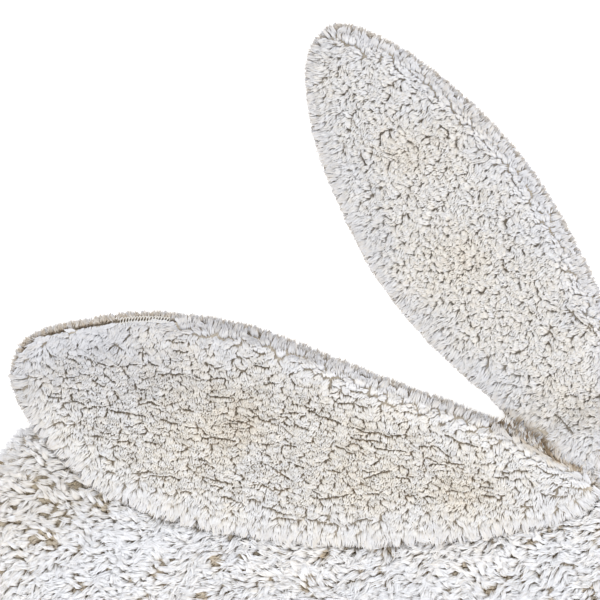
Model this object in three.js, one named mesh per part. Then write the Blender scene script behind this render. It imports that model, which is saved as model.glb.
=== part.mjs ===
// A floor rug of shag in the shape of a rabbit seen from the side, lying flat.
// Millimetres, +X towards the muzzle, +Y towards the ears, +Z up, the rug's underside at z = 0.
import * as THREE from "three";

// Driving dimensions
const BODY_HEIGHT = 25;
const BODY_RIM_HEIGHT = 11;
const BODY_SHOULDER_HEIGHT = 21;
const PRESSED_HEIGHT = 18;
const BODY_LUMP = 2.8;
const BODY_LOCK_PITCH = 17.5;
const BODY_LOCK_LENGTH = 20;
const BODY_LOCK_TIP_HEIGHT = 4;
const BODY_LOCK_LEAN = 6;
const BODY_ROUNDING = 14;
const BODY_GRID = 27;

const LOCK_MEAN_SHARE = 0.88;
const LOCK_UNEVEN_SHARE = 0.22;
const LOCK_UNEVEN_TURN = 2.4;

const EAR_BACK_HEIGHT = 5.5;
const EAR_FRONT_HEIGHT = 11.5;
const EAR_BACK_SHOWS = 4.5;
const EAR_LUMP = 0.7;
const EAR_LOCK_PITCH = 19;
const EAR_LOCK_LENGTH = 5;
const EAR_LOCK_TIP_HEIGHT = 2.5;
const EAR_LOCK_LEAN = 2;
const EAR_ROUNDING = 10;
const EAR_GRID = 21;

const FIT_GAP = 0.3;
const CREASE_GAP = 2;
const EDGE_FLAT = 12;
const DRAPE_RUN = 37;
const PRESS_MARGIN = 34;
const PRESS_RUN = 30;

// The body and head in one piece: where the ends of its pile reach, from the rump round by the feet
const BODY_OUTLINE = [
  { x: 28, y: 180 },
  { x: 0, y: 155 },
  { x: -52, y: 98 },
  { x: -90, y: 20 },
  { x: -110, y: -70 },
  { x: -112, y: -165 },
  { x: -94, y: -260 },
  { x: -52, y: -350 },
  { x: 20, y: -420 },
  { x: 120, y: -456 },
  { x: 240, y: -468 },
  { x: 340, y: -460 },
  { x: 400, y: -426 },
  { x: 470, y: -408 },
  { x: 545, y: -424 },
  { x: 620, y: -460 },
  { x: 706, y: -442 },
  { x: 742, y: -376 },
  { x: 740, y: -290 },
  { x: 742, y: -205 },
  { x: 782, y: -142 },
  { x: 850, y: -112 },
  { x: 900, y: -66 },
  { x: 912, y: -6 },
  { x: 888, y: 60 },
  { x: 830, y: 122 },
  { x: 752, y: 168 },
  { x: 676, y: 190 },
  { x: 612, y: 172 },
  { x: 552, y: 146 },
  { x: 480, y: 164 },
  { x: 400, y: 200 },
  { x: 300, y: 230 },
  { x: 200, y: 236 },
  { x: 110, y: 220 },
];

// Each ear runs from its tip to its root, with its reach to either side of that line
const UPPER_EAR = {
  tip: { x: 333, y: 579 },
  root: { x: 626, y: 140 },
  stations: [
    { along: 12, left: 14, right: 39 },
    { along: 40, left: 33, right: 60 },
    { along: 80, left: 52, right: 79 },
    { along: 120, left: 65, right: 91 },
    { along: 170, left: 77, right: 100 },
    { along: 224, left: 84, right: 107 },
    { along: 280, left: 84, right: 105 },
    { along: 340, left: 78, right: 96 },
    { along: 400, left: 69, right: 80 },
    { along: 450, left: 62, right: 66 },
    { along: 495, left: 52, right: 50 },
    { along: 520, left: 30, right: 30 },
  ],
};
const LOWER_EAR = {
  tip: { x: 6, y: 225 },
  root: { x: 606, y: 111 },
  stations: [
    { along: 12, left: 42, right: 22 },
    { along: 40, left: 58, right: 51 },
    { along: 80, left: 74, right: 81 },
    { along: 120, left: 87, right: 101 },
    { along: 170, left: 93, right: 111 },
    { along: 224, left: 94, right: 116 },
    { along: 280, left: 86, right: 115 },
    { along: 340, left: 74, right: 110 },
    { along: 400, left: 63, right: 100 },
    { along: 460, left: 54, right: 85 },
    { along: 520, left: 38, right: 65 },
    { along: 560, left: 25, right: 49 },
    { along: 592, left: 14, right: 30 },
  ],
};

// Waves of the uneven pile: length of each wave, its direction in degrees and its share
const PILE_WAVES = [
  { length: 152, heading: 28, share: 0.4 },
  { length: 108, heading: 104, share: 0.35 },
  { length: 76, heading: 61, share: 0.25 },
];

function blend(from, to, share) {
  const t = Math.min(1, Math.max(0, share));
  return from + (to - from) * t * t * (3 - 2 * t);
}

// Points at even steps on a smooth closed curve through the given points
function smoothOutline(corners, pitch) {
  const curve = new THREE.CatmullRomCurve3(
    corners.map((corner) => new THREE.Vector3(corner.x, corner.y, 0)),
    true,
    "centripetal",
  );
  curve.arcLengthDivisions = corners.length * 40;
  const count = Math.round(curve.getLength() / pitch);
  return curve.getSpacedPoints(count).slice(0, count).map(({ x, y }) => ({ x, y }));
}

function earCorners({ tip, root, stations }) {
  const length = Math.hypot(root.x - tip.x, root.y - tip.y);
  const line = { x: (root.x - tip.x) / length, y: (root.y - tip.y) / length };
  const place = (along, aside) => ({
    x: tip.x + line.x * along - line.y * aside,
    y: tip.y + line.y * along + line.x * aside,
  });
  const rightSide = stations.map(({ along, right }) => place(along, -right));
  const leftSide = stations.map(({ along, left }) => place(along, left)).reverse();
  return [tip, ...rightSide, root, ...leftSide];
}

// Distance from a point to a closed outline, negative inside it, with the nearest point
function measure(point, outline) {
  let best = Infinity;
  let nearest = outline[0];
  let inside = false;
  outline.forEach((a, index) => {
    const b = outline[(index + 1) % outline.length];
    const edge = { x: b.x - a.x, y: b.y - a.y };
    const reach = ((point.x - a.x) * edge.x + (point.y - a.y) * edge.y) / (edge.x ** 2 + edge.y ** 2);
    const t = Math.min(1, Math.max(0, reach));
    const foot = { x: a.x + edge.x * t, y: a.y + edge.y * t };
    const away = Math.hypot(point.x - foot.x, point.y - foot.y);
    if (away < best) {
      best = away;
      nearest = foot;
    }
    const crosses = (a.y > point.y) !== (b.y > point.y);
    if (crosses && point.x < a.x + (edge.x * (point.y - a.y)) / edge.y) {
      inside = !inside;
    }
  });
  return { distance: inside ? -best : best, nearest };
}

// The outward direction at each point of a counterclockwise outline
function outwardAt(outline, index) {
  const count = outline.length;
  const before = outline[(index + count - 1) % count];
  const after = outline[(index + 1) % count];
  const length = Math.hypot(after.x - before.x, after.y - before.y);
  return { x: (after.y - before.y) / length, y: (before.x - after.x) / length };
}

function offset(outline, distance) {
  return outline.map((point, index) => {
    const outward = outwardAt(outline, index);
    return { x: point.x + outward.x * distance, y: point.y + outward.y * distance };
  });
}

// Moves what lies too near another outline away from it
function keepClear(points, other, gap) {
  return points.map((point) => {
    const { distance, nearest } = measure(point, other);
    if (distance >= gap) {
      return point;
    }
    const turn = distance < 0 ? -1 : 1;
    const away = Math.abs(distance);
    return {
      x: nearest.x + ((point.x - nearest.x) / away) * turn * gap,
      y: nearest.y + ((point.y - nearest.y) / away) * turn * gap,
    };
  });
}

// One lock between each two points of a rim, or none where another piece is near
function rimLocks(rim, length, lean, isFree) {
  return rim.map((point, index) => {
    const next = rim[(index + 1) % rim.length];
    const step = Math.hypot(next.x - point.x, next.y - point.y);
    const normal = { x: (next.y - point.y) / step, y: (point.x - next.x) / step };
    const uneven = length * (LOCK_MEAN_SHARE + LOCK_UNEVEN_SHARE * Math.sin(index * LOCK_UNEVEN_TURN));
    const tip = {
      x: (point.x + next.x) / 2 + normal.x * uneven + ((next.x - point.x) / step) * lean,
      y: (point.y + next.y) / 2 + normal.y * uneven + ((next.y - point.y) / step) * lean,
    };
    return isFree(tip) ? tip : null;
  });
}

// Rows of points set in from a ring, every other row moved half a step
function gridInside(ring, pitch) {
  const xs = ring.map(({ x }) => x);
  const ys = ring.map(({ y }) => y);
  const rowStep = (pitch * Math.sqrt(3)) / 2;
  const points = [];
  let row = 0;
  for (let y = Math.min(...ys); y < Math.max(...ys); y += rowStep) {
    for (let x = Math.min(...xs) + (row % 2) * (pitch / 2); x < Math.max(...xs); x += pitch) {
      if (measure({ x, y }, ring).distance < -0.55 * pitch) {
        points.push({ x, y });
      }
    }
    row += 1;
  }
  return points;
}

function circleThrough(points, a, b, c) {
  const origin = points[a];
  const bx = points[b].x - origin.x;
  const by = points[b].y - origin.y;
  const cx = points[c].x - origin.x;
  const cy = points[c].y - origin.y;
  const twice = 2 * (bx * cy - by * cx);
  const x = (cy * (bx * bx + by * by) - by * (cx * cx + cy * cy)) / twice;
  const y = (bx * (cx * cx + cy * cy) - cx * (bx * bx + by * by)) / twice;
  return { corners: [a, b, c], x: origin.x + x, y: origin.y + y, radius: Math.hypot(x, y) };
}

// Delaunay triangles, counterclockwise, by adding one point at a time
function delaunay(points) {
  const far = 60000;
  const count = points.length;
  const all = [...points, { x: -far, y: -far }, { x: far, y: -far }, { x: 0, y: far }];
  let triangles = [circleThrough(all, count, count + 1, count + 2)];
  points.forEach((point, index) => {
    const kept = [];
    const open = new Map();
    for (const triangle of triangles) {
      if (Math.hypot(point.x - triangle.x, point.y - triangle.y) >= triangle.radius) {
        kept.push(triangle);
        continue;
      }
      const [a, b, c] = triangle.corners;
      for (const [from, to] of [[a, b], [b, c], [c, a]]) {
        if (!open.delete(`${to}_${from}`)) {
          open.set(`${from}_${to}`, [from, to]);
        }
      }
    }
    for (const [from, to] of open.values()) {
      kept.push(circleThrough(all, from, to, index));
    }
    triangles = kept;
  });
  return triangles.map(({ corners }) => corners).filter((corners) => Math.max(...corners) < count);
}

// The flat pattern of a panel: rings from its rim inwards, then a grid, with one triangle mesh
function layPattern(rings, tips, pitch) {
  const points = [];
  const triangles = [];
  const rim = [];
  const ringIndices = rings.map((ring, level) => ring.map((point) => points.push({ ...point, level }) - 1));
  const count = rings[0].length;
  for (let i = 0; i < count; i += 1) {
    const next = (i + 1) % count;
    rim.push(ringIndices[0][i]);
    if (tips[i]) {
      const tip = points.push({ ...tips[i], level: -1 }) - 1;
      rim.push(tip);
      triangles.push([ringIndices[0][i], tip, ringIndices[0][next]]);
    }
    for (let level = 1; level < rings.length; level += 1) {
      const outer = ringIndices[level - 1];
      const inner = ringIndices[level];
      triangles.push([outer[i], outer[next], inner[next]]);
      triangles.push([outer[i], inner[next], inner[i]]);
    }
  }
  const last = rings[rings.length - 1];
  const grid = gridInside(last, pitch).map((point) => points.push({ ...point, level: rings.length }) - 1);
  const field = [...ringIndices[rings.length - 1], ...grid];
  const middle = (corners, axis) => corners.reduce((sum, corner) => sum + points[corner][axis], 0) / 3;
  for (const corners of delaunay(field.map((index) => points[index]))) {
    const ids = corners.map((corner) => field[corner]);
    if (measure({ x: middle(ids, "x"), y: middle(ids, "y") }, last).distance < 0) {
      triangles.push(ids);
    }
  }
  return { points, triangles, rim };
}

// A closed solid over a pattern, from its height above and its height below at each point
function raisePattern(name, pattern, topAt, bottomAt, color) {
  const { points, triangles, rim } = pattern;
  const count = points.length;
  const vertices = [];
  points.forEach((point) => vertices.push(point.x, point.y, topAt(point)));
  points.forEach((point) => vertices.push(point.x, point.y, bottomAt(point)));
  const faces = [];
  triangles.forEach(([a, b, c]) => faces.push(a, b, c, count + a, count + c, count + b));
  rim.forEach((a, index) => {
    const b = rim[(index + 1) % rim.length];
    faces.push(count + a, count + b, b, count + a, b, a);
  });
  return clothMesh(name, vertices, faces, color);
}

// As above, with one flat underside on the floor
function raiseFlatPattern(name, pattern, topAt, color) {
  const { points, triangles, rim } = pattern;
  const count = points.length;
  const vertices = [];
  points.forEach((point) => vertices.push(point.x, point.y, topAt(point)));
  rim.forEach((index) => vertices.push(points[index].x, points[index].y, 0));
  const faces = triangles.flat();
  const contour = rim.map((index) => new THREE.Vector2(points[index].x, points[index].y));
  THREE.ShapeUtils.triangulateShape(contour, []).forEach(([a, b, c]) => {
    faces.push(count + a, count + c, count + b);
  });
  rim.forEach((a, index) => {
    const next = (index + 1) % rim.length;
    faces.push(count + index, count + next, rim[next], count + index, rim[next], a);
  });
  return clothMesh(name, vertices, faces, color);
}

function clothMesh(name, vertices, faces, color) {
  const geometry = new THREE.BufferGeometry();
  geometry.setAttribute("position", new THREE.Float32BufferAttribute(vertices, 3));
  geometry.setIndex(faces);
  geometry.computeVertexNormals();
  const material = new THREE.MeshStandardMaterial({ color, roughness: 0.96, metalness: 0 });
  const mesh = new THREE.Mesh(geometry, material);
  mesh.name = name;
  return mesh;
}

function unevenPile(point) {
  return PILE_WAVES.reduce((sum, { length, heading, share }) => {
    const angle = THREE.MathUtils.degToRad(heading);
    const along = point.x * Math.cos(angle) + point.y * Math.sin(angle);
    const across = point.y * Math.cos(angle) - point.x * Math.sin(angle);
    const phase = (2 * Math.PI * along) / length + 1.4 * Math.sin((2 * Math.PI * across) / (1.7 * length));
    return sum + share * Math.sin(phase);
  }, 0);
}

// Outlines: where the pile reaches, and the rims that carry the locks
const bodyReach = smoothOutline(BODY_OUTLINE, BODY_LOCK_PITCH);
const bodyRim = offset(bodyReach, -BODY_LOCK_LENGTH / 2);
const lowerReach = smoothOutline(earCorners(LOWER_EAR), EAR_LOCK_PITCH);
const lowerRim = offset(lowerReach, -EAR_LOCK_LENGTH / 2);
const upperReach = smoothOutline(earCorners(UPPER_EAR), EAR_LOCK_PITCH);
const upperRim = keepClear(offset(upperReach, -EAR_LOCK_LENGTH / 2), lowerRim, CREASE_GAP);

// Height of an ear's underside: on the pressed pile, over the body's edge, then on the floor
function earUnderside(point) {
  const past = measure(point, bodyRim).distance - EDGE_FLAT;
  return blend(PRESSED_HEIGHT + FIT_GAP, 0, past / DRAPE_RUN);
}

function makeBody() {
  const clearOfEars = (tip) => {
    const room = BODY_LOCK_PITCH / 2;
    return measure(tip, lowerRim).distance > room && measure(tip, upperRim).distance > room;
  };
  const tips = rimLocks(bodyRim, BODY_LOCK_LENGTH, BODY_LOCK_LEAN, clearOfEars);
  const pattern = layPattern([bodyRim, offset(bodyRim, -BODY_ROUNDING)], tips, BODY_GRID);
  const levelHeights = [BODY_RIM_HEIGHT, BODY_SHOULDER_HEIGHT, BODY_HEIGHT];
  const topAt = (point) => {
    if (point.level < 0) {
      return BODY_LOCK_TIP_HEIGHT;
    }
    const ears = Math.min(measure(point, lowerRim).distance, measure(point, upperRim).distance);
    const loose = levelHeights[point.level] + (point.level > 0 ? BODY_LUMP * unevenPile(point) : 0);
    const pressed = Math.min(levelHeights[point.level], PRESSED_HEIGHT);
    return blend(pressed, loose, (ears - PRESS_MARGIN) / PRESS_RUN);
  };
  return raiseFlatPattern("body", pattern, topAt, 0xe4e1da);
}

// An ear is a back panel with locks at its rim and a front panel sewn on a little way in
function makeEar(name, rim, otherRim) {
  const clearOfOther = (tip) => measure(tip, otherRim).distance > CREASE_GAP + EAR_LOCK_LENGTH;
  const tips = rimLocks(rim, EAR_LOCK_LENGTH, EAR_LOCK_LEAN, clearOfOther);
  const seam = offset(rim, -EAR_BACK_SHOWS);
  const shoulder = offset(seam, -EAR_ROUNDING);
  const noTips = rim.map(() => null);
  const backPattern = layPattern([rim, seam, shoulder], tips, EAR_GRID);
  const frontPattern = layPattern([seam, shoulder], noTips, EAR_GRID);
  const backRimHeight = EAR_BACK_HEIGHT * 0.75;
  const backTop = (point) => {
    const heights = [EAR_LOCK_TIP_HEIGHT, backRimHeight];
    return earUnderside(point) + (heights[point.level + 1] ?? EAR_BACK_HEIGHT);
  };
  const frontBottom = (point) => earUnderside(point) + EAR_BACK_HEIGHT + FIT_GAP;
  const frontTop = (point) => {
    const shares = [0.45, 0.86, 1];
    const lump = point.level > 0 ? EAR_LUMP * unevenPile({ x: 2 * point.x, y: 2 * point.y }) : 0;
    return frontBottom(point) + EAR_FRONT_HEIGHT * shares[point.level] + lump;
  };
  return [
    raisePattern(`${name}_back`, backPattern, backTop, earUnderside, 0xcfcabf),
    raisePattern(`${name}_front`, frontPattern, frontTop, frontBottom, 0xdedad2),
  ];
}

// The rug, with its origin under the middle of its bounding box
const group = new THREE.Group();
group.add(makeBody());
group.add(...makeEar("ear_upper", upperRim, lowerRim));
group.add(...makeEar("ear_lower", lowerRim, upperRim));
const box = new THREE.Box3().setFromObject(group);
const middle = box.getCenter(new THREE.Vector3());
group.position.set(-middle.x, -middle.y, 0);

export default group;
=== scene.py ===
# A rabbit shaped rug of shag on a pale floor, seen from straight above.
# Metres, in the frame of the solids: +X towards the muzzle, +Y towards the ears, +Z up.
import math
from types import SimpleNamespace

import bmesh
import bpy
import numpy as np
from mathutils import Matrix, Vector
from mathutils.bvhtree import BVHTree
from mathutils.kdtree import KDTree


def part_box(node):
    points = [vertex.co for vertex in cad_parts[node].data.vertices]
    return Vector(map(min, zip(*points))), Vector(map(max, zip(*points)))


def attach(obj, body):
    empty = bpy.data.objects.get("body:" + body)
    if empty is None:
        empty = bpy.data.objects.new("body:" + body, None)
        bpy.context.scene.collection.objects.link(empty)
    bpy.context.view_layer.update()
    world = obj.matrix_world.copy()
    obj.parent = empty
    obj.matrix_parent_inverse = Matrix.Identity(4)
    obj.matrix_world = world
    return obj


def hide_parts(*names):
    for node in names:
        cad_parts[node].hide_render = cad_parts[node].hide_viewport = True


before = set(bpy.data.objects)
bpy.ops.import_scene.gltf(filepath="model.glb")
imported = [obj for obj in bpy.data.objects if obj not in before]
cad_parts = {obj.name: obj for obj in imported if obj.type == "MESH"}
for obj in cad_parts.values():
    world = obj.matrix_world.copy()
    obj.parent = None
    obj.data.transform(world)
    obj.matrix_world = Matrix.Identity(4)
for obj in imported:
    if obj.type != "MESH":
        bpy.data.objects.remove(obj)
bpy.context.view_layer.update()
MM = 0.001
SEED = 20

# The photograph's frame, laid over the rug: 600 mm across, with the lower ear's tip 7 mm inside
# its left side and the upper ear's tip 21 mm below its upper side
VIEW_SIZE = 600 * MM
LEFT_ROOM = 7.1 * MM
TOP_ROOM = 20.9 * MM
VIEW_CORNER = np.array([
    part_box("ear_lower_back")[0][0] - LEFT_ROOM,
    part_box("ear_upper_back")[1][1] + TOP_ROOM - VIEW_SIZE,
])
CAMERA_HEIGHT = 3.2
SENSOR = 36.0
PILE_LEVEL = 25 * MM

RIM_STEP = 1 * MM

# What differs between the ears: the way their pile lies, the size of its cells, the cracks between
# them, how far a cell's strands keep apart, how far upright pile leans, the shade of its roots, its
# tone from bright to grey, and whether the seam shows
EARS = {
    "ear_lower": SimpleNamespace(
        nap=(-0.22, -0.975),
        tuft_pitch=8.0 * MM,
        crack_spacing=27 * MM,
        crack_depth=0.35 * MM,
        gather=0.93,
        upright_lean=4.0 * MM,
        root_shade=0.26,
        base_tone=0.1,
        seam=1.0,
        seed=SEED,
    ),
    "ear_upper": SimpleNamespace(
        nap=(-0.8, -0.6),
        tuft_pitch=6.0 * MM,
        crack_spacing=90 * MM,
        crack_depth=0.1 * MM,
        gather=1.0,
        upright_lean=6.0 * MM,
        root_shade=0.45,
        base_tone=0.5,
        seam=0.0,
        seed=SEED + 10,
    ),
}

# Short pile of the ears
EAR_GROUND = 2.6 * MM
EAR_GROUND_INSET = 1.5 * MM
EAR_STRAND_PITCH = 1.56 * MM
EAR_STRAND_WIDTH = 1.8 * MM
EAR_TUFT_SQUEEZE = 1.7
EAR_COMBED_LEAN = 8.0 * MM
EAR_RIM_BAND = 46 * MM
CRACK_REACH = 3.5 * MM
CRACK_MARGIN = 16 * MM
BACK_GROUND = 2.6 * MM
BACK_GROUND_INSET = 4.5 * MM
BACK_STRAND_PITCH = 1.05 * MM
BACK_TUFT_PITCH = 3.2 * MM
BACK_BAND = 8.5 * MM
RIM_STRAND_WIDTH = 0.9 * MM
RIM_STRAND_REACH = 8 * MM

# Long pile of the body, finer where the photograph shows it
BODY_NAP = (-0.96, -0.28)
BODY_GROUND_SHARE = 0.58
BODY_GROUND_INSET = 9 * MM
BODY_TUFT_PITCH = 4.7 * MM
BODY_NEAR_PITCH = 1.4 * MM
BODY_FAR_PITCH = 3.1 * MM
BODY_NEAR_WIDTH = 1.25 * MM
BODY_FAR_WIDTH = 2.4 * MM
BODY_NEAR_ROOM = 15 * MM
BODY_LEAN = 11 * MM

# Places and sizes of what stands out: the body's whitest pile, its most matted pile, which also has
# painted shade, the lower ear's upper left, greyer with painted shade where the light falls off, and
# the beige places of both ears
BRIGHT = (np.array([-0.265, 0.002]), np.array([0.035, 0.03]))
MATTED_AND_SHADED = (np.array([-0.345, 0.055]), np.array([0.075, 0.05]))
SHADE_FALLOFF = (np.array([-0.30, 0.195]), np.array([0.16, 0.055]))
BEIGE_PLACES = np.array([[-0.158, 0.130], [0.056, 0.060], [0.006, 0.400], [0.072, 0.295], [0.146, 0.150]])
BEIGE_SIZE = 26 * MM
# Painted shade in the crease between the roots of the ears, and along the thin parting that goes on from
# it
CREASE = (np.array([0.1075, 0.1290]), np.array([0.1510, 0.0990]), 6.5 * MM)
PARTING = (np.array([0.1545, 0.0915]), np.array([0.1825, 0.0795]), 2 * MM)

# Along X: the lower ear's seam shows at its left end and fades out between the first two places,
# and its stitches lie between the other two
SEAM_END = (-0.245, -0.205)
STITCHES = (-0.278, -0.228)
STITCH_STEP = 3
STITCH_RADIUS = 0.38 * MM
STITCH_LEVEL = 15.5 * MM
STITCH_REACH = 3.1 * MM
STITCH_HALF_WIDTH = 1.3 * MM
STITCH_RISE = 0.9 * MM

# Points along a strand, and its widths at its root, at a third, at two thirds and at its tip
STRAND_ROWS = 4
SLENDER = [0.75, 1.0, 0.85, 0.0]
BLUNT = [0.6, 0.9, 1.0, 0.1]
# How far the shading of strands follows the pile as a whole, not each strand's own side
SOFTNESS = 0.25

# Colours along a strand, from root dark to tip light
EAR_BRIGHT = [
    (0.0, (0.35, 0.225, 0.11)),
    (0.3, (0.69, 0.53, 0.35)),
    (0.78, (0.858, 0.806, 0.722)),
    (1.0, (0.85, 0.845, 0.85)),
]
# The greyer colours: taken by tone at random, and for painted shade at rims, in the crease and on the
# lower ear's upper left
EAR_GREY = [
    (0.0, (0.23, 0.17, 0.11)),
    (0.3, (0.49, 0.42, 0.34)),
    (0.78, (0.69, 0.65, 0.605)),
    (1.0, (0.69, 0.69, 0.715)),
]
BODY_BRIGHT = [
    (0.0, (0.28, 0.18, 0.06)),
    (0.3, (0.65, 0.50, 0.305)),
    (0.74, (0.885, 0.82, 0.73)),
    (1.0, (0.865, 0.87, 0.895)),
]
# The greyer colours: taken by tone at random, and for painted shade in the matted place
BODY_GREY = [
    (0.0, (0.23, 0.155, 0.06)),
    (0.3, (0.50, 0.41, 0.27)),
    (0.74, (0.75, 0.70, 0.63)),
    (1.0, (0.79, 0.795, 0.82)),
]
# Darker and lighter colour of the matted pile beneath the strands
BODY_FELT = ((0.23, 0.17, 0.10), (0.39, 0.32, 0.22))
EAR_FELT = ((0.43, 0.37, 0.29), (0.61, 0.55, 0.465))
THREAD = (0.72, 0.70, 0.66)
FLOOR = (0.93, 0.93, 0.93)


def smoothstep(values, low, high):
    t = np.clip((values - low) / (high - low), 0.0, 1.0)
    return t * t * (3 - 2 * t)


def unit(vectors):
    return vectors / np.maximum(np.linalg.norm(vectors, axis=-1, keepdims=True), 1e-9)


def turned(vectors, angles):
    cos = np.cos(angles)
    sin = np.sin(angles)
    x = vectors[..., 0] * cos - vectors[..., 1] * sin
    y = vectors[..., 0] * sin + vectors[..., 1] * cos
    return np.stack([x, y], axis=-1)


def waves(points, length, seed, count=5):
    """A smooth uneven field from -1 to 1 with the given wave length."""
    rng = np.random.default_rng(seed)
    total = np.zeros(len(points))
    for _ in range(count):
        angle = rng.uniform(0, 2 * math.pi)
        stretch = rng.uniform(0.7, 1.5)
        phase = rng.uniform(0, 2 * math.pi)
        along = points[:, 0] * math.cos(angle) + points[:, 1] * math.sin(angle)
        across = points[:, 1] * math.cos(angle) - points[:, 0] * math.sin(angle)
        bend = 0.9 * np.sin(2 * math.pi * across / (length * 1.9) + phase * 1.7)
        total += np.sin(2 * math.pi * along / (length * stretch) + phase + bend)
    return np.clip(total / (0.9 * math.sqrt(2 * count)), -1, 1)


def near_place(points, place, size):
    """One at the place, falling to nothing at about twice the size from it."""
    return np.exp(-np.sum(((points - place) / size) ** 2, axis=1))


def near_line(points, start, end, width):
    """One on the line from start to end, falling to nothing at about twice the width from it."""
    way = end - start
    share = np.clip((points - start) @ way / (way @ way), 0, 1)
    gap = points - (start + share[:, None] * way)
    return np.exp(-np.sum(gap ** 2, axis=1) / width ** 2)


def in_view(points, room):
    low = VIEW_CORNER - room
    high = VIEW_CORNER + VIEW_SIZE + room
    return np.all((points > low) & (points < high), axis=1)


def by_row(values, weights):
    """Each strand's value, weighted for each row of its points from root to tip."""
    return values[:, None] * np.array(weights)[None]


def new_piece(name, mesh):
    piece = bpy.data.objects.new(name, mesh)
    bpy.context.collection.objects.link(piece)
    return piece


# Node surfaces and rims


class NodeSurface:
    """The rim of a node in plan, and the heights of its upper and lower faces."""

    def __init__(self, node):
        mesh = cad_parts[node].data
        self.tree = BVHTree.FromPolygons(
            [vertex.co[:] for vertex in mesh.vertices],
            [polygon.vertices[:] for polygon in mesh.polygons],
        )
        self.rim = Rim(rim_loop(mesh))

    def top(self, points):
        return self._cast(points, 1.0, -1.0)

    def bottom(self, points):
        return self._cast(points, -1.0, 1.0)

    def _cast(self, points, start, way):
        heights = np.full(len(points), np.nan)
        down = Vector((0, 0, way))
        for index, (x, y) in enumerate(points.tolist()):
            hit = self.tree.ray_cast((x, y, start), down)
            if hit[0] is not None:
                heights[index] = hit[0][2]
        return heights


def rim_loop(mesh):
    """The lower edge of a node's side walls, in order, as points in plan."""
    bm = bmesh.new()
    bm.from_mesh(mesh)
    bmesh.ops.remove_doubles(bm, verts=bm.verts, dist=1e-6)
    bm.normal_update()
    after = {}
    for face in bm.faces:
        if abs(face.normal.z) > 0.02:
            continue
        for edge in face.edges:
            others = [other for other in edge.link_faces if other is not face]
            if others and others[0].normal.z < -0.3:
                a, b = edge.verts
                after.setdefault(a.index, []).append(b.index)
                after.setdefault(b.index, []).append(a.index)
    bm.verts.ensure_lookup_table()
    start = next(iter(after))
    loop = [start]
    previous = None
    while True:
        options = [index for index in after[loop[-1]] if index != previous]
        previous = loop[-1]
        if options[0] == start or len(loop) > len(after):
            break
        loop.append(options[0])
    points = np.array([bm.verts[index].co[:2] for index in loop])
    bm.free()
    ahead = np.roll(points, -1, axis=0)
    twice_area = np.sum(points[:, 0] * ahead[:, 1] - points[:, 1] * ahead[:, 0])
    return points if twice_area > 0 else points[::-1]


class Rim:
    """A closed line in plan, with distances to it and the way out of it."""

    def __init__(self, loop):
        edge = np.roll(loop, -1, axis=0) - loop
        steps = np.maximum(np.ceil(np.linalg.norm(edge, axis=1) / RIM_STEP).astype(int), 1)
        own = np.repeat(np.arange(len(loop)), steps)
        share = np.concatenate([np.arange(count) / count for count in steps])
        self.loop = loop
        self.points = loop[own] + edge[own] * share[:, None]
        normals = unit(np.stack([edge[:, 1], -edge[:, 0]], axis=1))[own]
        self.normals = unit(normals + np.roll(normals, 1, axis=0) + np.roll(normals, -1, axis=0))
        self.tree = point_tree(self.points)

    def without_locks(self):
        """The even line halfway between the roots and the ends of the rim's locks."""
        loop = self.loop
        return Rim(0.25 * np.roll(loop, 1, axis=0) + 0.5 * loop + 0.25 * np.roll(loop, -1, axis=0))

    def measure(self, points):
        """Distance to the rim, positive inside it, and the direction out of it."""
        nearest = nearest_in(self.tree, points)
        gap = self.points[nearest] - points
        normals = self.normals[nearest]
        inside = np.sum(gap * normals, axis=1) > 0
        distance = np.linalg.norm(gap, axis=1) * np.where(inside, 1.0, -1.0)
        outward = unit(unit(gap) * np.where(inside, 1.0, -1.0)[:, None] + 0.5 * normals)
        return distance, outward

    def inside(self, points):
        return self.measure(points)[0]


def point_tree(points):
    tree = KDTree(len(points))
    for index, (x, y) in enumerate(points.tolist()):
        tree.insert((x, y, 0), index)
    tree.balance()
    return tree


def nearest_in(tree, points):
    return np.array([tree.find((x, y, 0))[1] for x, y in points.tolist()])


def scattered(rim, pitch, rng, margin=0.0, nap=(0.0, 1.0), squeeze=1.0):
    """Uneven points at about the given pitch inside a rim, margin in from it, closer along the nap."""
    axes = nap_axes(nap, squeeze)
    loop = rim.loop @ axes.T
    low = loop.min(axis=0) - pitch
    high = loop.max(axis=0) + pitch
    row_step = pitch * math.sqrt(3) / 2
    rows = int((high[1] - low[1]) / row_step) + 1
    columns = int((high[0] - low[0]) / pitch) + 1
    row, column = np.mgrid[0:rows, 0:columns]
    x = low[0] + (column + 0.5 * (row % 2)) * pitch
    y = low[1] + row * row_step
    points = np.stack([x.ravel(), y.ravel()], axis=1)
    points += rng.uniform(-0.42, 0.42, points.shape) * pitch
    points = points @ np.linalg.inv(axes).T
    return points[rim.inside(points) > margin]


def nap_axes(nap, squeeze):
    """Turns plan points into lengths across the nap and, drawn out by squeeze, along it."""
    return np.array([[nap[1], -nap[0]], [nap[0] * squeeze, nap[1] * squeeze]])


def picked(tufts, own):
    """For each strand the values of its own tuft."""
    return SimpleNamespace(**{key: values[own] for key, values in vars(tufts).items()})


# Strands


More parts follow.
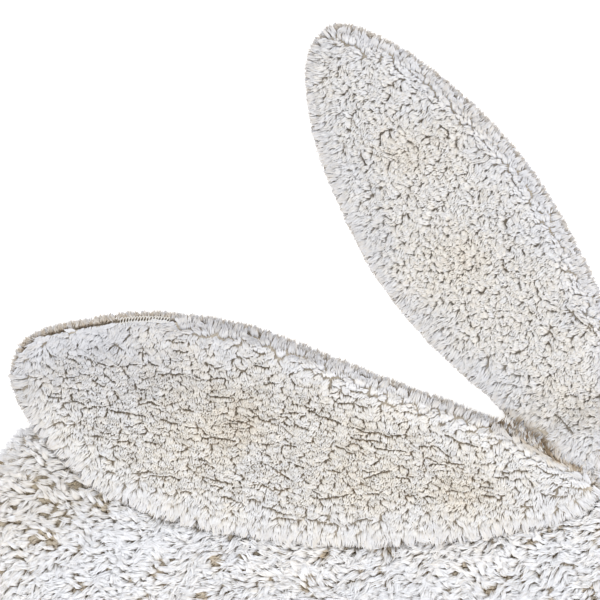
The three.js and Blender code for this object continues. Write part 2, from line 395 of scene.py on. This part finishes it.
def strand_mesh(name, roots, tips, bend, bow, width, roll, tone, shade, profile=SLENDER):
    """One mesh of tapered ribbons. Each rises from its root and bends over to its tip.
    bend is the share of its length and height at which it bends, bow a shift sideways there.
    tone goes along the map's u, from bright to grey, and shade along v, from root dark to tip light."""
    count = len(roots)
    rows = STRAND_ROWS
    tone = np.clip(tone, 0.02, 0.98)
    shade = np.clip(shade, 0.01, 0.99)
    steps = np.linspace(0, 1, rows)
    control = roots + (tips - roots) * np.array([bend[0], bend[0], bend[1]])
    control[:, :2] += bow
    t = steps[None, :, None]
    spine = (1 - t) ** 2 * roots[:, None] + 2 * t * (1 - t) * control[:, None] + t ** 2 * tips[:, None]
    heading = unit((tips - roots)[:, :2])
    flat_side = np.stack([-heading[:, 1], heading[:, 0], np.zeros(count)], axis=1)
    upward = np.array([0.0, 0.0, 1.0])
    side = flat_side * np.cos(roll)[:, None] + upward * np.sin(roll)[:, None]
    way = unit(2 * (1 - t) * (control - roots)[:, None] + 2 * t * (tips - control)[:, None])
    normals = unit(unit(np.cross(way, side[:, None])) * (1 - SOFTNESS) + upward * SOFTNESS)
    half = 0.5 * width[:, None] * np.interp(steps, [0, 0.35, 0.7, 1], profile)[None]
    per = 2 * rows - 1
    vertices = np.empty((count, per, 3))
    vertices[:, 0:-1:2] = (spine - side[:, None] * half[..., None])[:, :-1]
    vertices[:, 1:-1:2] = (spine + side[:, None] * half[..., None])[:, :-1]
    vertices[:, -1] = spine[:, -1]
    quads = [[2 * k, 2 * k + 2, 2 * k + 3, 2 * k + 1] for k in range(rows - 2)]
    last = [2 * rows - 4, 2 * rows - 2, 2 * rows - 3]
    pattern = np.array([corner for quad in quads for corner in quad] + last)
    corners = (pattern[None] + per * np.arange(count)[:, None]).ravel()
    starts_in = np.array([4 * k for k in range(rows - 1)])
    starts = (starts_in[None] + len(pattern) * np.arange(count)[:, None]).ravel()
    u = np.empty((count, per))
    v = np.empty((count, per))
    u[:, 0::2] = tone[:, None] - 0.004
    u[:, 1::2] = tone[:, None] + 0.004
    u[:, -1] = tone
    v[:, 0:-1:2] = shade[:, :-1]
    v[:, 1:-1:2] = shade[:, :-1]
    v[:, -1] = shade[:, -1]
    mapped = np.stack([u, v], axis=-1).reshape(-1, 2)[corners]
    mesh = bpy.data.meshes.new(name)
    mesh.vertices.add(count * per)
    mesh.vertices.foreach_set("co", vertices.ravel().astype(np.float32))
    mesh.loops.add(len(corners))
    mesh.loops.foreach_set("vertex_index", corners.astype(np.int32))
    mesh.polygons.add(len(starts))
    mesh.polygons.foreach_set("loop_start", starts.astype(np.int32))
    mesh.polygons.foreach_set("use_smooth", np.ones(len(starts), dtype=bool))
    layer = mesh.uv_layers.new(name="OFBake")
    layer.data.foreach_set("uv", mapped.ravel().astype(np.float32))
    mesh.update(calc_edges=True)
    per_vertex = np.empty((count, per, 3))
    per_vertex[:, 0::2] = normals
    per_vertex[:, 1::2] = normals[:, :-1]
    mesh.normals_split_custom_set_from_vertices(per_vertex.reshape(-1, 3).tolist())
    return new_piece(name, mesh)


class Cracks:
    """Short wavy lines across the nap, along which the pile parts."""

    def __init__(self, rim, nap, spacing, depth, seed):
        rng = np.random.default_rng(seed)
        starts = scattered(rim, spacing, rng, CRACK_MARGIN)
        across = math.atan2(-nap[0], nap[1])
        points = []
        ways = []
        depths = []
        for start in starts:
            length = 7 + 30 * rng.uniform() ** 2
            heading = across + rng.normal(0, 0.16)
            own_depth = depth * rng.uniform(0.5, 1.0)
            place = np.array(start)
            for step in np.arange(0, length, 1.0):
                heading += rng.normal(0, 0.16) + 0.12 * (across - heading)
                way = np.array([math.cos(heading), math.sin(heading)])
                place = place + way * MM
                points.append(place)
                ways.append(way)
                depths.append(own_depth * math.sin(math.pi * min(step / length, 1)))
        self.points = np.array(points)
        self.ways = np.array(ways)
        self.depths = np.array(depths)
        self.tree = point_tree(self.points)

    def part(self, roots, tips):
        """Keep each tip from hanging over the crack in front of its root."""
        middle = 0.5 * (roots + tips)
        nearest = nearest_in(self.tree, middle)
        way = self.ways[nearest]
        normal = np.stack([-way[:, 1], way[:, 0]], axis=1)
        place = self.points[nearest]
        near = np.linalg.norm(middle - place, axis=1) < CRACK_REACH
        root_side = np.sum((roots - place) * normal, axis=1)
        tip_side = np.sum((tips - place) * normal, axis=1)
        gap = self.depths[nearest]
        stay = np.where(root_side < 0, np.minimum(tip_side, -gap), np.maximum(tip_side, gap))
        back = np.where(near, stay - tip_side, 0.0)
        return tips + normal * back[:, None]


def seam_shows(ear, points):
    """How far the seam shows at points of an ear's rim: the panels' pile doesn't cover it there."""
    uneven = 0.75 + 0.25 * waves(points, 25 * MM, SEED + 4)
    return ear.seam * (1 - smoothstep(points[:, 0], *SEAM_END)) * uneven


def ear_tufts(ear, rim, other, rng):
    """The cells of an ear's pile, upright in its middle and combed along the nap near its rims.
    At the rims they turn outwards, except where the seam shows."""
    centres = scattered(rim, ear.tuft_pitch, rng, 0, ear.nap, EAR_TUFT_SQUEEZE)
    total = len(centres)
    distance, outward = rim.measure(centres)
    # Combed is one at the rim and falls to nothing at an uneven line inside it
    band = distance + 12 * MM * waves(centres, 60 * MM, ear.seed + 3)
    combed = 1 - smoothstep(band, 0.1 * EAR_RIM_BAND, EAR_RIM_BAND)
    with_nap = np.sum(outward * ear.nap, axis=1)
    shows = seam_shows(ear, centres) * smoothstep(-with_nap, -0.2, 0.3)
    # Fringe is one where the tufts turn out over the rim
    uneven = distance + 6 * MM * waves(centres, 22 * MM, ear.seed + 6) + rng.normal(0, 2.5 * MM, total)
    fringe = (1 - smoothstep(uneven, 1 * MM, 20 * MM)) * (1 - shows)
    swirl = (0.3 + 0.2 * (1 - combed)) * waves(centres, 28 * MM, ear.seed + 1) + rng.normal(0, 0.3, total)
    nap_here = turned(np.tile(ear.nap, (total, 1)), swirl)
    crease = 1 - smoothstep(-other.inside(centres), 12 * MM, 26 * MM)
    nap_angle = np.arctan2(nap_here[:, 1], nap_here[:, 0])
    out_angle = np.arctan2(outward[:, 1], outward[:, 0])
    # The turn from the nap to the way out jumps from one side to the other at a quarter turn,
    # where the tufts stand up and spread instead
    turn = np.mod(out_angle - nap_angle + 1.5 * math.pi, 2 * math.pi) - 1.5 * math.pi
    turn_share = np.clip(1.15 * fringe, 0, 1) * (1 - 0.35 * crease)
    angle = nap_angle + turn * turn_share + rng.normal(0, 0.2, total)
    # The pile parts halfway into the fringe, where its nap runs inwards
    halfway = 4 * fringe * (1 - fringe)
    parting = halfway * smoothstep(-with_nap, -0.2, 0.5)
    lean = ear.upright_lean + (EAR_COMBED_LEAN - ear.upright_lean) * combed
    lean = lean * rng.uniform(0.65, 1.25, total) * (1 - 0.35 * parting) + 1.5 * MM * crease * fringe
    lean += 2.5 * MM * fringe * smoothstep(with_nap, 0, 0.5)
    to_jump = np.minimum(turn + 1.5 * math.pi, 0.5 * math.pi - turn)
    jump = halfway * (1 - smoothstep(to_jump, 0.1, 0.7))
    return SimpleNamespace(
        centre=centres,
        combed=combed,
        with_nap=with_nap,
        fringe=fringe,
        crease=crease,
        parting=parting,
        heading=np.stack([np.cos(angle), np.sin(angle)], axis=1),
        lean=lean * (1 - 0.6 * jump),
        spread=ear.gather + rng.uniform(-0.07, 0.07, total) + 0.25 * jump,
        tone=rng.uniform(-0.1, 0.1, total),
        shade=rng.uniform(-0.06, 0.04, total),
        height=rng.normal(0, 0.25 * MM, total),
        # Each tuft's share of the painted shade in the crease
        crease_shade=rng.uniform(0, 1, total),
    )


def ear_pile(name, ear, surface, other):
    """The short dense pile of an ear's front panel."""
    rng = np.random.default_rng(ear.seed)
    rim = surface.rim
    cracks = Cracks(rim, ear.nap, ear.crack_spacing, ear.crack_depth, ear.seed + 7)
    roots = scattered(rim, EAR_STRAND_PITCH, rng, 0.8 * MM)
    count = len(roots)
    distance = rim.inside(roots)
    tufts = ear_tufts(ear, rim, other, rng)
    axes = nap_axes(ear.nap, EAR_TUFT_SQUEEZE)
    tuft = picked(tufts, nearest_in(point_tree(tufts.centre @ axes.T), roots @ axes.T))
    # The tips of a cell all lean its way and keep part of their distances across it
    away = roots - tuft.centre
    forward = np.sum(away * tuft.heading, axis=1)
    along = forward[:, None] * tuft.heading
    across = away - along
    narrow = tuft.spread * (1 - 0.25 * tuft.combed) + 0.4 * tuft.parting
    tips = tuft.centre + tuft.heading * tuft.lean[:, None] + along * 0.9 + across * narrow[:, None]
    tips += rng.normal(0, 1, tips.shape) * (0.2 + 0.45 * tuft.combed)[:, None] * MM
    tips = cracks.part(roots, tips)
    # Strands start on the panel's cloth. Their tips make a dome over the cell, higher at its front
    starts = tuft.centre + away * 0.9
    start_height = surface.bottom(starts)
    start_height = np.where(np.isnan(start_height), surface.bottom(roots), start_height) + EAR_GROUND
    from_middle = np.linalg.norm(away @ axes.T, axis=1) / (0.55 * ear.tuft_pitch)
    dome = 1.8 * MM * (1.45 - ear.gather) * np.clip(from_middle, 0, 1.4) ** 2
    shingle = 0.28 * forward * (1 - 0.6 * tuft.combed)
    sunk = 1.2 * MM * tuft.combed + 2.0 * MM * tuft.fringe
    tip_height = surface.top(roots) - dome - sunk + shingle + tuft.height + rng.normal(0, 0.16 * MM, count)
    tip_height = np.maximum(tip_height, start_height + 1.5 * MM)
    # Tone and shade follow the places named above, the rim, and each cell's own values
    broad = waves(roots, 160 * MM, ear.seed + 2)
    # Painted shade on the lower ear's upper left, where the light falls off: greyer, with lighter roots
    shade_falloff = near_place(roots, *SHADE_FALLOFF)
    beige = np.max([near_place(roots, place, BEIGE_SIZE) for place in BEIGE_PLACES], axis=0)
    midway = 0.5 * (roots + tips)
    # Painted shade in the crease between the ears, darker on some tufts than on others
    crease_shade = np.maximum(near_line(tips, *CREASE), near_line(midway, *CREASE))
    # Painted shade along the thin parting that goes on from the crease
    parting_shade = near_line(midway, *PARTING)
    # Painted shade, greyer and darker, on the rims that the nap runs away from
    rim_shade = (1 - smoothstep(distance, 0, 16 * MM)) * smoothstep(-tuft.with_nap, -0.3, 0.5)
    # Painted shade on strands that reach past the outline: greyer, and darker towards the tip
    outside = smoothstep(-rim.inside(tips), 3 * MM, 7 * MM) * (1 - tuft.crease)
    tone = ear.base_tone + 0.16 * tuft.combed + 0.06 * broad + tuft.tone + rng.normal(0, 0.05, count)
    tone += 0.6 * rim_shade + 0.7 * shade_falloff + 0.5 * outside + 0.5 * crease_shade
    light = tuft.shade + 0.04 * broad + rng.normal(0, 0.04, count) - 0.06 * rim_shade
    light = light - 1.3 * crease_shade * tuft.crease_shade - 0.9 * parting_shade - 0.13 * beige
    shade = np.array([ear.root_shade, 0.58 + 0.4 * ear.root_shade, 0.87, 0.91])[None]
    shade = shade + by_row(light, [0.2, 0.7, 1, 1])
    shade = shade + by_row(tuft.combed + 0.5 * shade_falloff, [0.45, 0.22, 0.08, 0.07])
    shade = shade + by_row(tuft.parting, [0.25, 0.2, 0, 0])
    # No dark roots show at the hem
    hem = 0.98 * (1 - smoothstep(distance, 2 * MM, 11 * MM)) * (1 - crease_shade) * (1 - parting_shade)
    shade = np.maximum(shade, hem[:, None])
    shade = shade - by_row(outside * rng.uniform(0, 2, count), [0, 0, 0.06, 0.16])
    slim = 1 - 0.42 * tuft.combed + 0.5 * tuft.parting
    return strand_mesh(
        name,
        np.column_stack([starts, start_height]),
        np.column_stack([tips, tip_height]),
        bend=(0.14, 1.0),
        width=EAR_STRAND_WIDTH * rng.uniform(0.75, 1.25, count) * slim,
        bow=rng.normal(0, 0.16 * MM, (count, 2)),
        roll=rng.uniform(-0.12, 0.12, count),
        tone=tone,
        shade=shade,
        profile=BLUNT,
    )


def back_pile(name, ear, surface, other):
    """The short pile of an ear's back panel where it stands out all round the seam."""
    seed = ear.seed + 5
    rng = np.random.default_rng(seed)
    rim = surface.rim.without_locks()
    roots = scattered(rim, BACK_STRAND_PITCH, rng, 1.0 * MM)
    distance, outward = rim.measure(roots)
    near = distance < BACK_BAND
    roots, distance, outward = roots[near], distance[near], outward[near]
    count = len(roots)
    centres = scattered(rim, BACK_TUFT_PITCH, rng)
    own = nearest_in(point_tree(centres), roots)
    crease = 1 - smoothstep(-other.inside(roots), 8 * MM, 18 * MM)
    swing = 0.5 * waves(centres, 14 * MM, seed + 1) + rng.normal(0, 0.25, len(centres))
    heading = turned(outward, swing[own] + 0.8 * crease + rng.normal(0, 0.2, count))
    # Strands reach a few millimetres past the rim, and further into the crease between the ears
    along_nap = smoothstep(-outward[:, 1] - 0.5 * outward[:, 0], 0, 0.6)
    reach = distance + (rng.uniform(-1.5, 4.5, count) - 3 * along_nap) * MM
    reach = np.clip(reach, 1.2 * MM, RIM_STRAND_REACH) + 8 * MM * crease * rng.uniform(0.3, 1, count)
    gather = 0.45 + 0.35 * crease
    tips = roots + heading * reach[:, None] + gather[:, None] * (centres[own] - roots)
    floor_height = surface.bottom(roots)
    rise = smoothstep(distance, 0, 7 * MM)
    start_height = floor_height + (0.8 + 2.0 * rise * rng.uniform(0.3, 1, count)) * MM
    tip_height = floor_height + (1.5 + 6.0 * rise + rng.uniform(-0.8, 1.6, count) + 4 * crease) * MM
    tuft = rng.uniform(-1, 1, len(centres))[own]
    light = 0.3 * tuft + rng.normal(0, 0.08, count) - 0.1 + 0.1 * crease
    midway = 0.5 * (roots + tips)
    # Painted shade in the crease between the ears
    crease_shade = near_line(midway, *CREASE)
    # Painted shade along the parting
    parting_shade = near_line(midway, *PARTING)
    # Painted shade: the rims that the nap runs away from are greyer and darker, and where the seam shows
    # its groove is darker still, painted shadow over the darker cloth there
    against = smoothstep(outward[:, 1] + 0.5 * outward[:, 0], -0.4, 0.5) * (1 - 0.7 * crease)
    groove = seam_shows(ear, roots) * against * smoothstep(distance, 3.5 * MM, 6.5 * MM)
    light = light + 0.1 * (1 - against) - 0.35 * groove
    light = light + crease_shade * (1.2 * tuft - 0.9) - 0.9 * parting_shade
    return strand_mesh(
        name,
        np.column_stack([roots, start_height]),
        np.column_stack([tips, tip_height]),
        bend=(0.3, 0.9),
        bow=rng.normal(0, 0.3 * MM, (count, 2)),
        width=RIM_STRAND_WIDTH * rng.uniform(0.7, 1.3, count) * (1 + 0.7 * crease),
        roll=rng.uniform(-0.6, 0.6, count),
        # Painted shade: the rim pile takes the greyer colours all round
        tone=0.88 + 0.08 * against + rng.normal(0, 0.1, count),
        shade=np.array([0.15, 0.6, 0.95, 0.95])[None] + light[:, None],
    )


def body_tufts(rim):
    """The tufts of the body's long pile. Some are sunk, so that the matted pile shows beneath them."""
    rng = np.random.default_rng(SEED + 5)
    centres = scattered(rim, BODY_TUFT_PITCH, rng, 3 * MM)
    total = len(centres)
    distance, outward = rim.measure(centres)
    turn = 0.6 * waves(centres, 190 * MM, SEED + 6) + 0.7 * waves(centres, 38 * MM, SEED + 7)
    turn += rng.normal(0, 0.3, total)
    nap_here = turned(np.tile(unit(np.array(BODY_NAP)), (total, 1)), turn)
    push = 1.6 * (1 - smoothstep(distance, 4 * MM, 32 * MM))
    heading = unit(nap_here + outward * push[:, None])
    bright = near_place(centres, *BRIGHT)
    # The matted place: more tufts are sunk there, and it has painted shade, a little darker and greyer
    matted_and_shaded = near_place(centres, *MATTED_AND_SHADED)
    likely = 0.06 + 0.45 * np.clip(waves(centres, 40 * MM, SEED + 9), 0, 1) ** 1.5
    likely = (likely + 0.28 * matted_and_shaded) * (1 - bright) * np.where(in_view(centres, BODY_NEAR_ROOM), 1, 0.35)
    sunk = rng.uniform(0, 1, total) < likely
    # Tufts near the rim lean no further out than this room
    lean = BODY_LEAN * rng.uniform(0.5, 1.35, total) * np.where(sunk, 0.5, 1.0)
    room = distance + np.where(in_view(centres, 0), 1, 9) * MM
    outgoing = np.sum(heading * outward, axis=1)
    return SimpleNamespace(
        centre=centres,
        distance=distance,
        heading=heading,
        bright=bright,
        matted_and_shaded=matted_and_shaded,
        lean=np.where(outgoing * lean > room, room / np.maximum(outgoing, 0.2), lean),
        spread=rng.uniform(0.65, 1.05, total),
        curl=rng.normal(0, 0.18, total),
        tone=rng.uniform(-0.1, 0.1, total),
        # Sunk tufts are painted darker and browner: painted shade in their pits, over the dark root colour
        shade=rng.uniform(-0.06, 0.03, total) - 0.45 * sunk + 0.06 * bright - 0.08 * matted_and_shaded,
        height=rng.normal(0, 0.8 * MM, total) * (1 - 0.5 * bright) - 6 * MM * sunk,
    )


def body_pile(name, surface, ear_rims, tufts, near, from_x, to_x, seed):
    """Long loose pile: small curled tufts that lie roughly along the nap, and out over the rug's edge."""
    rng = np.random.default_rng(seed)
    rim = surface.rim.without_locks()
    roots = scattered(rim, BODY_NEAR_PITCH if near else BODY_FAR_PITCH, rng, 5 * MM)
    here = (in_view(roots, BODY_NEAR_ROOM) == near) & (roots[:, 0] >= from_x) & (roots[:, 0] < to_x)
    roots = roots[here]
    roots = roots[under_ears(ear_rims, roots) < 1.5 * MM]
    own = nearest_in(point_tree(tufts.centre), roots)
    tuft = picked(tufts, own)
    # The tips of a tuft all lean its way, with a curl to one side
    away = roots - tuft.centre
    along = np.sum(away * tuft.heading, axis=1)[:, None] * tuft.heading
    across = away - along
    lean = tuft.lean * rng.uniform(0.7, 1.15, len(roots))
    sideways = np.stack([-tuft.heading[:, 1], tuft.heading[:, 0]], axis=1)
    aside = sideways * (tuft.curl * lean)[:, None]
    tips = tuft.centre + tuft.heading * lean[:, None] + along * 0.6 + across * tuft.spread[:, None] + aside
    tips += rng.normal(0, 0.4 * MM, tips.shape)
    covered = under_ears(ear_rims, tips)
    keep = covered < 4 * MM
    roots, tips, own, away, aside, covered = (
        values[keep] for values in (roots, tips, own, away, aside, covered)
    )
    tuft = picked(tufts, own)
    count = len(roots)
    # The tips lie on the solid's upper face, fall to the floor at its rim and pile up beside the ears
    start_height = surface.top(roots) * BODY_GROUND_SHARE - 0.5 * MM
    loose = surface.top(tips)
    loose = np.where(np.isnan(loose), 5 * MM, loose)
    edge = rim.inside(tips)
    falling = np.minimum(loose, (5 + 1.2 * np.clip(edge / MM, 0, 14)) * MM)
    level = np.where(edge < 12 * MM, falling, loose)
    pushed_up = 8 * MM * (1 - smoothstep(-covered, 3 * MM, 40 * MM))
    drop = 1.6 * MM * (np.linalg.norm(away, axis=1) / (0.6 * BODY_TUFT_PITCH)) ** 2
    tip_height = level + pushed_up + tuft.height - drop + rng.normal(0, 0.4 * MM, count)
    tip_height = np.maximum(tip_height, 1.2 * MM)
    broad = waves(roots, 220 * MM, SEED + 8)
    # Greyer in the matted place: painted shade
    tone = 0.2 + 0.12 * broad + tuft.tone - 0.15 * tuft.bright + 0.7 * tuft.matted_and_shaded
    tone += rng.normal(0, 0.06, count)
    light = tuft.shade + 0.05 * broad + rng.normal(0, 0.04, count)
    shade = np.array([0.15, 0.856, 0.965, 0.98])[None] + by_row(light, [0.2, 0.7, 0.889, 1])
    hem = 1 - smoothstep(tuft.distance, 8 * MM, 26 * MM)
    shade = np.maximum(shade, np.maximum(0.96 * hem, 0.8 * tuft.bright)[:, None])
    return strand_mesh(
        name,
        np.column_stack([roots, start_height]),
        np.column_stack([tips, tip_height]),
        bend=(0.16, 1.0),
        bow=-0.6 * aside,
        width=(BODY_NEAR_WIDTH if near else BODY_FAR_WIDTH) * rng.uniform(0.7, 1.3, count),
        roll=rng.uniform(-0.2, 0.2, count),
        tone=tone,
        shade=shade,
    )


def under_ears(ear_rims, points):
    """How far inside an ear's rim the points are, negative outside both ears."""
    return np.max([rim.inside(points) for rim in ear_rims], axis=0)


# The cloth beneath the pile


def opened(node):
    bm = bmesh.new()
    bm.from_mesh(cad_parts[node].data)
    bmesh.ops.remove_doubles(bm, verts=bm.verts, dist=1e-6)
    return bm


def closed(bm, name):
    bmesh.ops.recalc_face_normals(bm, faces=bm.faces)
    mesh = bpy.data.meshes.new(name)
    bm.to_mesh(mesh)
    bm.free()
    return new_piece(name, mesh)


def draw_in(bm, rim, inset):
    """Move the outermost vertices in plan until they lie inset within the rim."""
    plan = np.array([vertex.co[:2] for vertex in bm.verts])
    distance, outward = rim.measure(plan)
    for vertex, inside, direction in zip(bm.verts, distance, outward):
        if inside < inset:
            vertex.co.x -= direction[0] * (inset - inside)
            vertex.co.y -= direction[1] * (inset - inside)


def ear_ground(name, node, surface, thickness, inset):
    """The panel's own cloth: the underside of its solid, made thick again, without its rim's locks."""
    bm = opened(node)
    bm.normal_update()
    others = [face for face in bm.faces if face.normal.z > -0.3]
    bmesh.ops.delete(bm, geom=others, context="FACES")
    bmesh.ops.reverse_faces(bm, faces=bm.faces)
    draw_in(bm, surface.rim.without_locks(), inset)
    upper = bmesh.ops.extrude_face_region(bm, geom=bm.faces[:])["geom"]
    for item in upper:
        if isinstance(item, bmesh.types.BMVert):
            item.co.z += thickness
    return closed(bm, name)


def body_ground(name, surface):
    """The body's cloth with the dense lower part of its pile, lumpy on top, without the loose locks."""
    bm = opened("body")
    draw_in(bm, surface.rim.without_locks(), BODY_GROUND_INSET)
    for vertex in bm.verts:
        if vertex.co.z > 1 * MM:
            vertex.co.z = max(vertex.co.z, 10 * MM) * BODY_GROUND_SHARE
    bm.normal_update()
    top = [face for face in bm.faces if face.normal.z > 0.2]
    edges = list({edge for face in top for edge in face.edges})
    bmesh.ops.subdivide_edges(bm, edges=edges, cuts=2, use_grid_fill=True)
    bm.normal_update()
    raised = [vertex for vertex in bm.verts if vertex.co.z > 3 * MM]
    lumps = waves(np.array([vertex.co[:2] for vertex in raised]), 24 * MM, SEED + 30)
    for vertex, lump in zip(raised, lumps):
        vertex.co.z += 0.8 * MM * lump
    bmesh.ops.triangulate(bm, faces=[face for face in bm.faces if len(face.verts) > 4])
    return closed(bm, name)


def overlock(name, rim, from_x, to_x):
    """Slanted loops of sewing thread over the seam, along the ear's upper rim between two places."""
    shown = (rim.points[:, 0] > from_x) & (rim.points[:, 0] < to_x) & (rim.normals[:, 1] > 0.3)
    places = rim.points[shown]
    normals = rim.normals[shown]
    order = np.argsort(places[:, 0])[::STITCH_STEP]
    sides = 6
    steps = 16
    around = np.linspace(0, 2 * math.pi, steps, endpoint=False)
    ring = np.linspace(0, 2 * math.pi, sides, endpoint=False)
    vertices = []
    faces = []
    for place, normal in zip(places[order], normals[order]):
        tangent = np.array([normal[1], -normal[0]])
        slant = unit(normal + 0.45 * tangent)
        beside = np.array([slant[1], -slant[0]])
        first = len(vertices)
        for angle in around:
            length = STITCH_REACH * math.cos(angle)
            breadth = STITCH_HALF_WIDTH * math.sin(angle)
            flat = place + slant * length + beside * breadth
            level = STITCH_LEVEL + STITCH_RISE * math.cos(angle)
            radial = slant * math.cos(angle) + beside * math.sin(angle)
            for turn in ring:
                x, y = flat + STITCH_RADIUS * math.cos(turn) * radial
                vertices.append((float(x), float(y), level + STITCH_RADIUS * math.sin(turn)))
        for i in range(steps):
            for j in range(sides):
                here = first + i * sides
                ahead = first + ((i + 1) % steps) * sides
                beyond = (j + 1) % sides
                faces.append((here + j, here + beyond, ahead + beyond, ahead + j))
    mesh = bpy.data.meshes.new(name)
    mesh.from_pydata(vertices, [], faces)
    for polygon in mesh.polygons:
        polygon.use_smooth = True
    return new_piece(name, mesh)


# Materials


def new_material(name, roughness):
    material = bpy.data.materials.new(name)
    material.use_nodes = True
    shader = material.node_tree.nodes["Principled BSDF"]
    shader.inputs["Roughness"].default_value = roughness
    return material, shader


def ramp(nodes, links, source, stops):
    node = nodes.new("ShaderNodeValToRGB")
    elements = node.color_ramp.elements
    while len(elements) < len(stops):
        elements.new(0.5)
    for element, (place, color) in zip(elements, stops):
        element.position = place
        element.color = (*color, 1.0)
    links.new(source, node.inputs["Fac"])
    return node.outputs["Color"]


def pile_material(name, bright, grey):
    """Strands: dark olive at the root to off-white at the tip, along the map's v, and greyer along u."""
    material, shader = new_material(name, 0.92)
    nodes = material.node_tree.nodes
    links = material.node_tree.links
    shader.inputs["Specular IOR Level"].default_value = 0.12
    shader.inputs["Sheen Weight"].default_value = 0.15
    shader.inputs["Sheen Roughness"].default_value = 0.6
    place = nodes.new("ShaderNodeUVMap")
    place.uv_map = "OFBake"
    parts = nodes.new("ShaderNodeSeparateXYZ")
    links.new(place.outputs["UV"], parts.inputs["Vector"])
    bright_color = ramp(nodes, links, parts.outputs["Y"], bright)
    grey_color = ramp(nodes, links, parts.outputs["Y"], grey)
    mix = nodes.new("ShaderNodeMix")
    mix.data_type = "RGBA"
    links.new(parts.outputs["X"], mix.inputs["Factor"])
    links.new(bright_color, mix.inputs["A"])
    links.new(grey_color, mix.inputs["B"])
    links.new(mix.outputs["Result"], shader.inputs["Base Color"])
    return material


def ground_material(name, dark, light):
    """The matted lower pile: uneven olive beige with a felted surface."""
    material, shader = new_material(name, 0.95)
    nodes = material.node_tree.nodes
    links = material.node_tree.links
    shader.inputs["Specular IOR Level"].default_value = 0.1
    place = nodes.new("ShaderNodeTexCoord")
    mottle = nodes.new("ShaderNodeTexNoise")
    mottle.inputs["Scale"].default_value = 180
    mottle.inputs["Detail"].default_value = 6
    links.new(place.outputs["Object"], mottle.inputs["Vector"])
    color = ramp(nodes, links, mottle.outputs["Fac"], [(0.35, dark), (0.65, light)])
    links.new(color, shader.inputs["Base Color"])
    fibre = nodes.new("ShaderNodeTexNoise")
    fibre.inputs["Scale"].default_value = 900
    fibre.inputs["Detail"].default_value = 4
    links.new(place.outputs["Object"], fibre.inputs["Vector"])
    bump = nodes.new("ShaderNodeBump")
    bump.inputs["Strength"].default_value = 0.6
    bump.inputs["Distance"].default_value = 0.0008
    links.new(fibre.outputs["Fac"], bump.inputs["Height"])
    links.new(bump.outputs["Normal"], shader.inputs["Normal"])
    return material


def plain_material(name, color, roughness):
    material, shader = new_material(name, roughness)
    shader.inputs["Base Color"].default_value = (*color, 1.0)
    return material, shader


# Camera, floor and light


def look_down():
    centre = VIEW_CORNER + VIEW_SIZE / 2
    data = bpy.data.cameras.new("camera")
    data.sensor_width = SENSOR
    data.lens = SENSOR * (CAMERA_HEIGHT - PILE_LEVEL) / VIEW_SIZE
    data.clip_end = 20
    camera = new_piece("camera", data)
    camera.location = (centre[0], centre[1], CAMERA_HEIGHT)
    bpy.context.scene.camera = camera


def lay_floor():
    mesh = bpy.data.meshes.new("floor")
    size = 6.0
    level = -0.2 * MM
    corners = [(-size, -size, level), (size, -size, level), (size, size, level), (-size, size, level)]
    mesh.from_pydata(corners, [], [(0, 1, 2, 3)])
    floor = new_piece("floor", mesh)
    paint, shader = plain_material("floor_paint", FLOOR, 0.9)
    shader.inputs["Emission Color"].default_value = (1.0, 1.0, 1.0, 1.0)
    shader.inputs["Emission Strength"].default_value = 0.5
    mesh.materials.append(paint)


def light_softly():
    world = bpy.data.worlds.new("studio")
    world.use_nodes = True
    bpy.context.scene.world = world
    background = world.node_tree.nodes["Background"]
    background.inputs["Color"].default_value = (0.975, 0.985, 1.0, 1.0)
    background.inputs["Strength"].default_value = 1.16
    data = bpy.data.lights.new("key", "AREA")
    data.shape = "SQUARE"
    data.size = 2.2
    data.energy = 45
    key = new_piece("key", data)
    key.location = (1.1, -2.2, 2.3)
    key.rotation_euler = (Vector((0, 0, 0)) - key.location).to_track_quat("-Z", "Y").to_euler()
    bpy.context.scene.view_settings.view_transform = "Standard"


def declare(piece, node, material):
    piece.data.materials.append(material)
    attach(piece, "root")
    if node:
        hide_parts(node)


look_down()
lay_floor()
light_softly()

ear_material = pile_material("short_pile", EAR_BRIGHT, EAR_GREY)
body_material = pile_material("long_pile", BODY_BRIGHT, BODY_GREY)
body_felt = ground_material("matted_pile", *BODY_FELT)
ear_felt = ground_material("matted_short_pile", *EAR_FELT)
thread, _ = plain_material("thread", THREAD, 0.8)
panels = {node: NodeSurface(node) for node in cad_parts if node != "body"}
ear_rims = {name: panels[name + "_back"].rim.without_locks() for name in EARS}
for name, ear in EARS.items():
    front = panels[name + "_front"]
    back = panels[name + "_back"]
    other = next(rim for key, rim in ear_rims.items() if key != name)
    ear.nap = np.array(ear.nap) / math.hypot(*ear.nap)
    pile = ear_pile(name + "_pile", ear, front, other)
    declare(pile, None, ear_material)
    rim_pile = back_pile(name + "_rim_pile", ear, back, other)
    declare(rim_pile, None, ear_material)
    front_ground = ear_ground(name + "_front_cloth", name + "_front", front, EAR_GROUND, EAR_GROUND_INSET)
    declare(front_ground, name + "_front", ear_felt)
    back_ground = ear_ground(name + "_back_cloth", name + "_back", back, BACK_GROUND, BACK_GROUND_INSET)
    declare(back_ground, name + "_back", ear_felt)
stitches = overlock("overlock_stitches", panels["ear_lower_front"].rim, *STITCHES)
declare(stitches, None, thread)

body = NodeSurface("body")
ground = body_ground("body_cloth", body)
declare(ground, "body", body_felt)
tufts = body_tufts(body.rim.without_locks())
view_middle = VIEW_CORNER[0] + VIEW_SIZE / 2
rump_end = VIEW_CORNER[0] + VIEW_SIZE * 0.35
regions = (
    ("body_pile_back", True, -math.inf, view_middle),
    ("body_pile_neck", True, view_middle, math.inf),
    ("body_pile_rump", False, -math.inf, rump_end),
    ("body_pile_head", False, rump_end, math.inf),
)
for index, (name, near, from_x, to_x) in enumerate(regions):
    pile = body_pile(name, body, list(ear_rims.values()), tufts, near, from_x, to_x, SEED + 40 + index)
    declare(pile, None, body_material)
